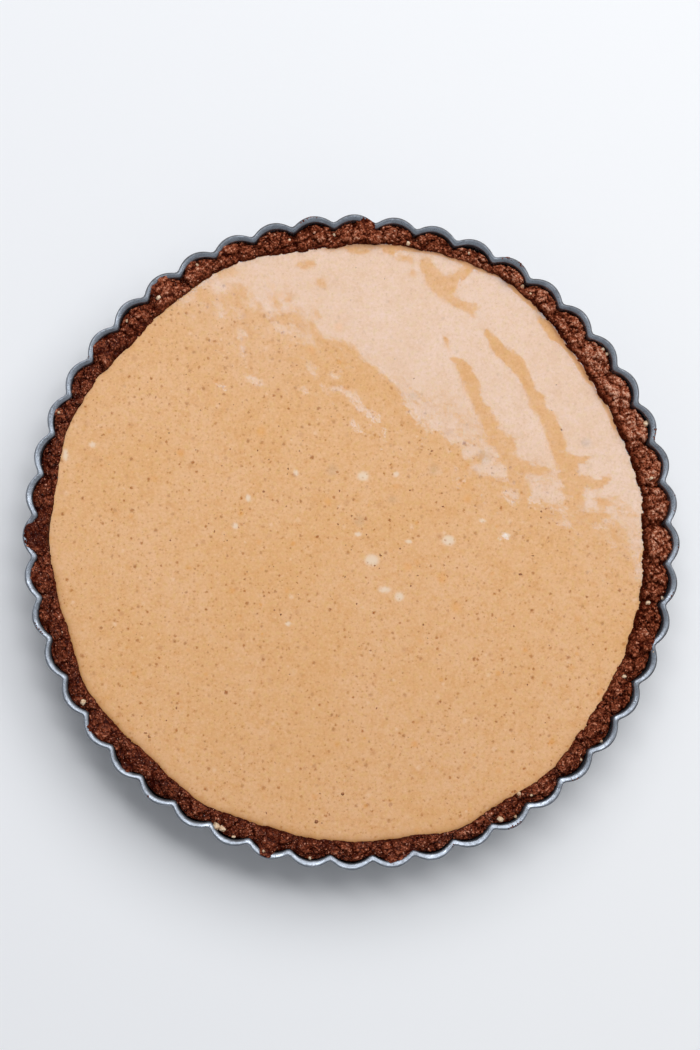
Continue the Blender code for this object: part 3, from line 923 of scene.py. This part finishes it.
crumbs = {
    "seed": 11,
    "ceiling": 26.9 * mm,
    "shine": {"roughness": 0.26, "gloss": 0.11, "coat": 0.55},
    # each kind: how many, smallest and largest in mm, and the share of pale ones, which are pale bits and
    # painted glints
    "kinds": (
        ("coarseCrumbs", 2200, 0.32, 0.62, 0.03),
        ("fineCrumbs", 9600, 0.18, 0.34, 0.07),
        ("crumbGrit", 9000, 0.12, 0.22, 0.09),
    ),
    "stray": (110, 0.14, 0.36),  # how many, smallest and largest in mm
    # pale bits of nut: where in degrees, mm in from the lip's edge, and radius in mm
    "nuts": (
        (22, 3.5, 1.2), (36.5, 3.2, 0.8), (37.6, 3.4, 0.8), (54.4, 6.6, 0.9), (79.5, 7, 0.8),
        (93.5, 4.5, 0.7), (119.7, 4.6, 0.7), (129, 6, 1.1), (136, 4.8, 0.8), (157, 3.6, 0.65),
        (211.4, 5, 1.15), (244.6, 3.2, 1.5), (245.8, 4.3, 1.4), (248.2, 3.6, 0.8), (254, 2.2, 0.8),
        (262.3, 3.4, 0.7), (297.8, 4.4, 1.2), (300.5, 3.2, 0.8), (303.2, 7, 0.9), (305, 5.6, 0.7),
        (316.2, 4.4, 0.8), (321.2, 3.3, 0.7), (339.8, 1.2, 0.7), (348.3, 6.6, 1.1), (349.8, 3.2, 0.7),
        (12, 6.2, 0.8), (56.5, 4.5, 0.9), (68, 5.4, 0.7), (102, 5.8, 0.7), (333.5, 6.4, 0.9),
    ),
    # brown crumbs left on the lip: where in degrees
    "onLip": (5.5, 8, 19, 20.5, 58.5, 61.5, 97, 98.5, 146, 196.5, 197.5, 231.5, 288, 299, 300.5, 313, 350,
              359),
}


def surfaceSpots(rng, count):  # random places on the rim and the way out there
    ringsUsed, steps = rimRings.shape[:2]
    rows = rng.integers(1, ringsUsed - 5, count)
    columns = rng.integers(0, steps, count)
    here = rimRings[rows, columns]
    along = rimRings[rows, (columns + 1) % steps] - rimRings[rows, columns - 1]
    across = rimRings[rows + 1, columns] - rimRings[rows - 1, columns]
    outward = np.cross(along, across)
    outward /= np.linalg.norm(outward, axis=1, keepdims=True) + 1e-12
    outward *= np.where(outward[:, 2:] < 0, -1, 1)
    return here, outward, angleOf(here), rimTones[rows, columns]


def scatterCrumbs(rng, material):
    for name, count, smallest, largest, paleGlintShare in crumbs["kinds"]:
        here, outward, angle, tone = surfaceSpots(rng, count)
        rough = roughShare(angle)
        radii = rng.uniform(smallest * mm, largest * mm, count) * (0.6 + 0.4 * rough)
        lift = rng.uniform(-0.65, 0.30, count) * rough - 0.45 * (1 - rough)
        spread = (0.14 + 1.55 * tone) * (1 + 0.75 * (1 - rough))
        tones = evenOut(0.45 * tone + rng.beta(1.1, 1.8, count) * spread)
        # pale crumbs: pale bits, and painted glints, more of them on the pressed side
        pale = rng.random(count) < paleGlintShare * (1.9 - 1.3 * rough)
        tones[pale] = (rng.uniform(0.60, 0.92, count) + 0.10 * (1 - rough))[pale]
        crumbMesh(name, rng, here + outward * (radii * lift)[:, None], radii, tones, material)


def scatterNuts(rng):
    material, tree = newMaterial("nutBits")
    patches = cloud(placeIn(tree), 0.0012, 3, 0.6)
    colours = ((0.28, (0.52, 0.27, 0.14, 1)), (0.48, (0.72, 0.50, 0.31, 1)), (0.68, (0.82, 0.68, 0.52, 1)))
    finished(material, {
        "Base Color": rampColours(patches, colours),
        "Roughness": 0.5,
        "Normal": bumpFrom(patches, 0.0002, 0.6),
    })
    degrees, inwards, radii = np.array(crumbs["nuts"]).T
    angles, radii = np.radians(degrees), radii * mm
    centres = polar(lipEdge(angles) - inwards * mm, angles, 0.40 * radii)
    rim = rimRings.reshape(-1, 3)
    nearest = [np.hypot(rim[:, 0] - x, rim[:, 1] - y).argmin() for x, y, _ in centres]
    centres[:, 2] += rim[nearest, 2]
    crumbMesh("nutBits", rng, centres, radii, np.full(len(radii), 0.5), material, uneven=0.2)


def scatterStray(rng, material):
    count, smallest, largest = crumbs["stray"]
    angles = np.radians(rng.choice(crumbs["onLip"], count) + rng.normal(0, 0.55, count))
    inwards = rng.uniform(0.15, 1.0, count) * mm
    radii = rng.uniform(smallest * mm, largest * mm, count)
    heights = lipTop - 0.1 * mm + 0.3 * radii
    centres = polar(lipEdge(angles) - inwards, angles, heights)
    crumbMesh("strayCrumbs", rng, centres, radii, rng.uniform(0.12, 0.50, count), material)


chance = np.random.default_rng(crumbs["seed"])
grains = crumbMaterial("crumbGrains", **crumbs["shine"])
scatterCrumbs(chance, grains)
scatterNuts(chance)
scatterStray(chance, grains)
print("crumbs scattered")


# dark flecks of nut skin in the filling's surface
flecks = {
    "seed": 5,
    # x, y and radius in mm
    "chosen": (
        (-34.7, 32.6, 0.5), (-30.7, 29.3, 0.4), (-23.6, 26, 0.6), (-19.5, 32.6, 0.5), (-32.5, 17.6, 0.6),
        (-24.3, 12.2, 0.5), (-5.4, 5.8, 0.65), (-0.4, 8.9, 0.5), (10.1, -5.5, 0.75), (-2.8, -13.5, 0.6),
        (-8.2, -25.2, 0.65), (23.8, -12.8, 0.65), (-26.2, -27.3, 0.55), (-28.5, -25.7, 0.5),
        (17.4, -3, 0.55), (-38.5, -11.9, 0.5), (25.8, -30.8, 0.6), (8.1, -9.3, 0.4), (-41.6, 4.3, 0.45),
        (1.5, -23.3, 0.45), (21.2, -16.7, 0.45), (29.1, 32.9, 0.7), (33.1, 12.5, 0.55), (21, 18.4, 0.5),
        (-4.8, 18, 0.6), (58.9, -31.2, 0.55), (37.1, -28.3, 0.55), (61.5, -12.2, 0.85), (6.5, -40.3, 0.6),
        (70.9, 12, 0.55), (66, -5.3, 0.6), (76.8, 41.3, 0.6), (8.7, -61.4, 0.65), (-13.1, -102.5, 1),
        (-3.6, -92.3, 0.8), (-31.3, -99.3, 0.6), (-75, -70.6, 0.9), (-73.7, -71.9, 0.8),
        (-63.9, -61.4, 0.6), (-67.5, -66, 0.5),
    ),
    "scattered": 120,
    "within": 104,
    "keptBeyond": 0.3,
    "smallest": 0.22,
    "largest": 0.46,
    "sides": 7,
    "proud": 0.02 * mm,
}


def scatterFlecks():
    rng = np.random.default_rng(flecks["seed"])
    count, sides = flecks["scattered"], flecks["sides"]
    reach = flecks["within"] * np.sqrt(rng.random(count))
    turn = rng.uniform(0, fullTurn, count)
    spots = polar(reach, turn, rng.uniform(flecks["smallest"], flecks["largest"], count))
    beyond = mirrored(*spots.T[:2])[0] > strokes["mirrorEdge"]
    kept = ~beyond | (rng.random(count) < flecks["keptBeyond"])
    vertices, faces = [], []
    for x, y, size in np.concatenate([flecks["chosen"], spots[kept]]) * mm:
        turns = np.sort(rng.uniform(0, fullTurn / sides, sides) * 0.5 + fullTurn * np.arange(sides) / sides)
        lengths = size * rng.uniform(0.8, 1.5, sides)
        squash, lean = rng.uniform(0.45, 1.0), rng.uniform(0, math.pi)
        along, over = lengths * np.cos(turns), lengths * np.sin(turns) * squash
        px = np.append(x + along * math.cos(lean) - over * math.sin(lean), x)
        py = np.append(y + along * math.sin(lean) + over * math.cos(lean), y)
        heights = fillingHeights(px, py) + np.append(np.full(sides, -0.5), 1.0) * flecks["proud"]
        start = len(vertices)
        vertices += [*zip(px, py, heights), (x, y, heights[-1] - 0.2 * mm)]
        for k in range(sides):
            j = (k + 1) % sides
            faces += [(start + k, start + j, start + sides), (start + j, start + k, start + sides + 1)]
    material, tree = newMaterial("nutSkin")
    colours = ((0.35, (0.25, 0.085, 0.030, 1)), (0.65, (0.46, 0.195, 0.080, 1)))
    finished(material, {
        "Base Color": rampColours(cloud(placeIn(tree), 0.003), colours),
        "Roughness": 0.35,
        "Specular IOR Level": 0.25,
    })
    dress("nutFlecks", np.array(vertices), faces, material)


scatterFlecks()
print("flecks scattered")


# the floor and the light of a large window
studio = {
    "floorSize": 6,
    "floorColour": (0.915, 0.914, 0.92, 1),
    "floorShade": (0.865, 0.868, 0.888, 1),
    "windowHeight": 2.4,
    "windowTowards": math.radians(58),
    # each pane: where it begins, its depth, width, shift to the left, and power
    "panes": ((0.428, 0.55, 1.9, 0.5, 21.6), (0.978, 3.2, 4.6, 0.25, 104.5)),
    "windowColour": (0.97, 0.985, 1),
    "roomLight": 0.33,
    "roomColour": (0.93, 0.96, 1, 1),
}


def makeFloor():
    half = studio["floorSize"] / 2
    corners = np.array([(-half, -half, 0), (half, -half, 0), (half, half, 0), (-half, half, 0)])
    material, tree = newMaterial("paleBoard")
    place = placeIn(tree)
    # painted shade: the floor darker towards the left, where the window's light falls off
    rightwards = between(addNode("SeparateXYZ", {0: place})[0], -0.25, 0.25, -0.05, 0.65)
    share = times(cloud(place, 0.25, 3), 0.4, rightwards)
    finished(material, {
        "Base Color": blend(share, studio["floorShade"], studio["floorColour"]),
        "Roughness": 0.6,
        "Specular IOR Level": 0.2,
    })
    newMesh("floor", corners, [(0, 1, 2, 3)], material, smooth=False)


def makeLight():
    turn = studio["windowTowards"]
    towards = Vector((math.cos(turn), math.sin(turn), 0))
    leftwards = Vector((-towards.y, towards.x, 0))
    height = Vector((0, 0, studio["windowHeight"]))
    for start, depth, width, shift, power in studio["panes"]:
        data = bpy.data.lights.new("pane", "AREA")
        data.shape = "RECTANGLE"
        data.size, data.size_y = width, depth
        data.energy = power
        data.color = studio["windowColour"]
        pane = addObject("pane", data)
        pane.location = towards * (start + depth / 2) + leftwards * shift + height
        pane.rotation_euler = (0, 0, turn - math.pi / 2)
    world = bpy.data.worlds.new("room")
    bpy.context.scene.world = world
    world.use_nodes = True
    background = world.node_tree.nodes["Background"]
    background.inputs["Color"].default_value = studio["roomColour"]
    background.inputs["Strength"].default_value = studio["roomLight"]
    bpy.context.scene.view_settings.view_transform = "Standard"


makeFloor()
makeLight()
print("floor and light made")
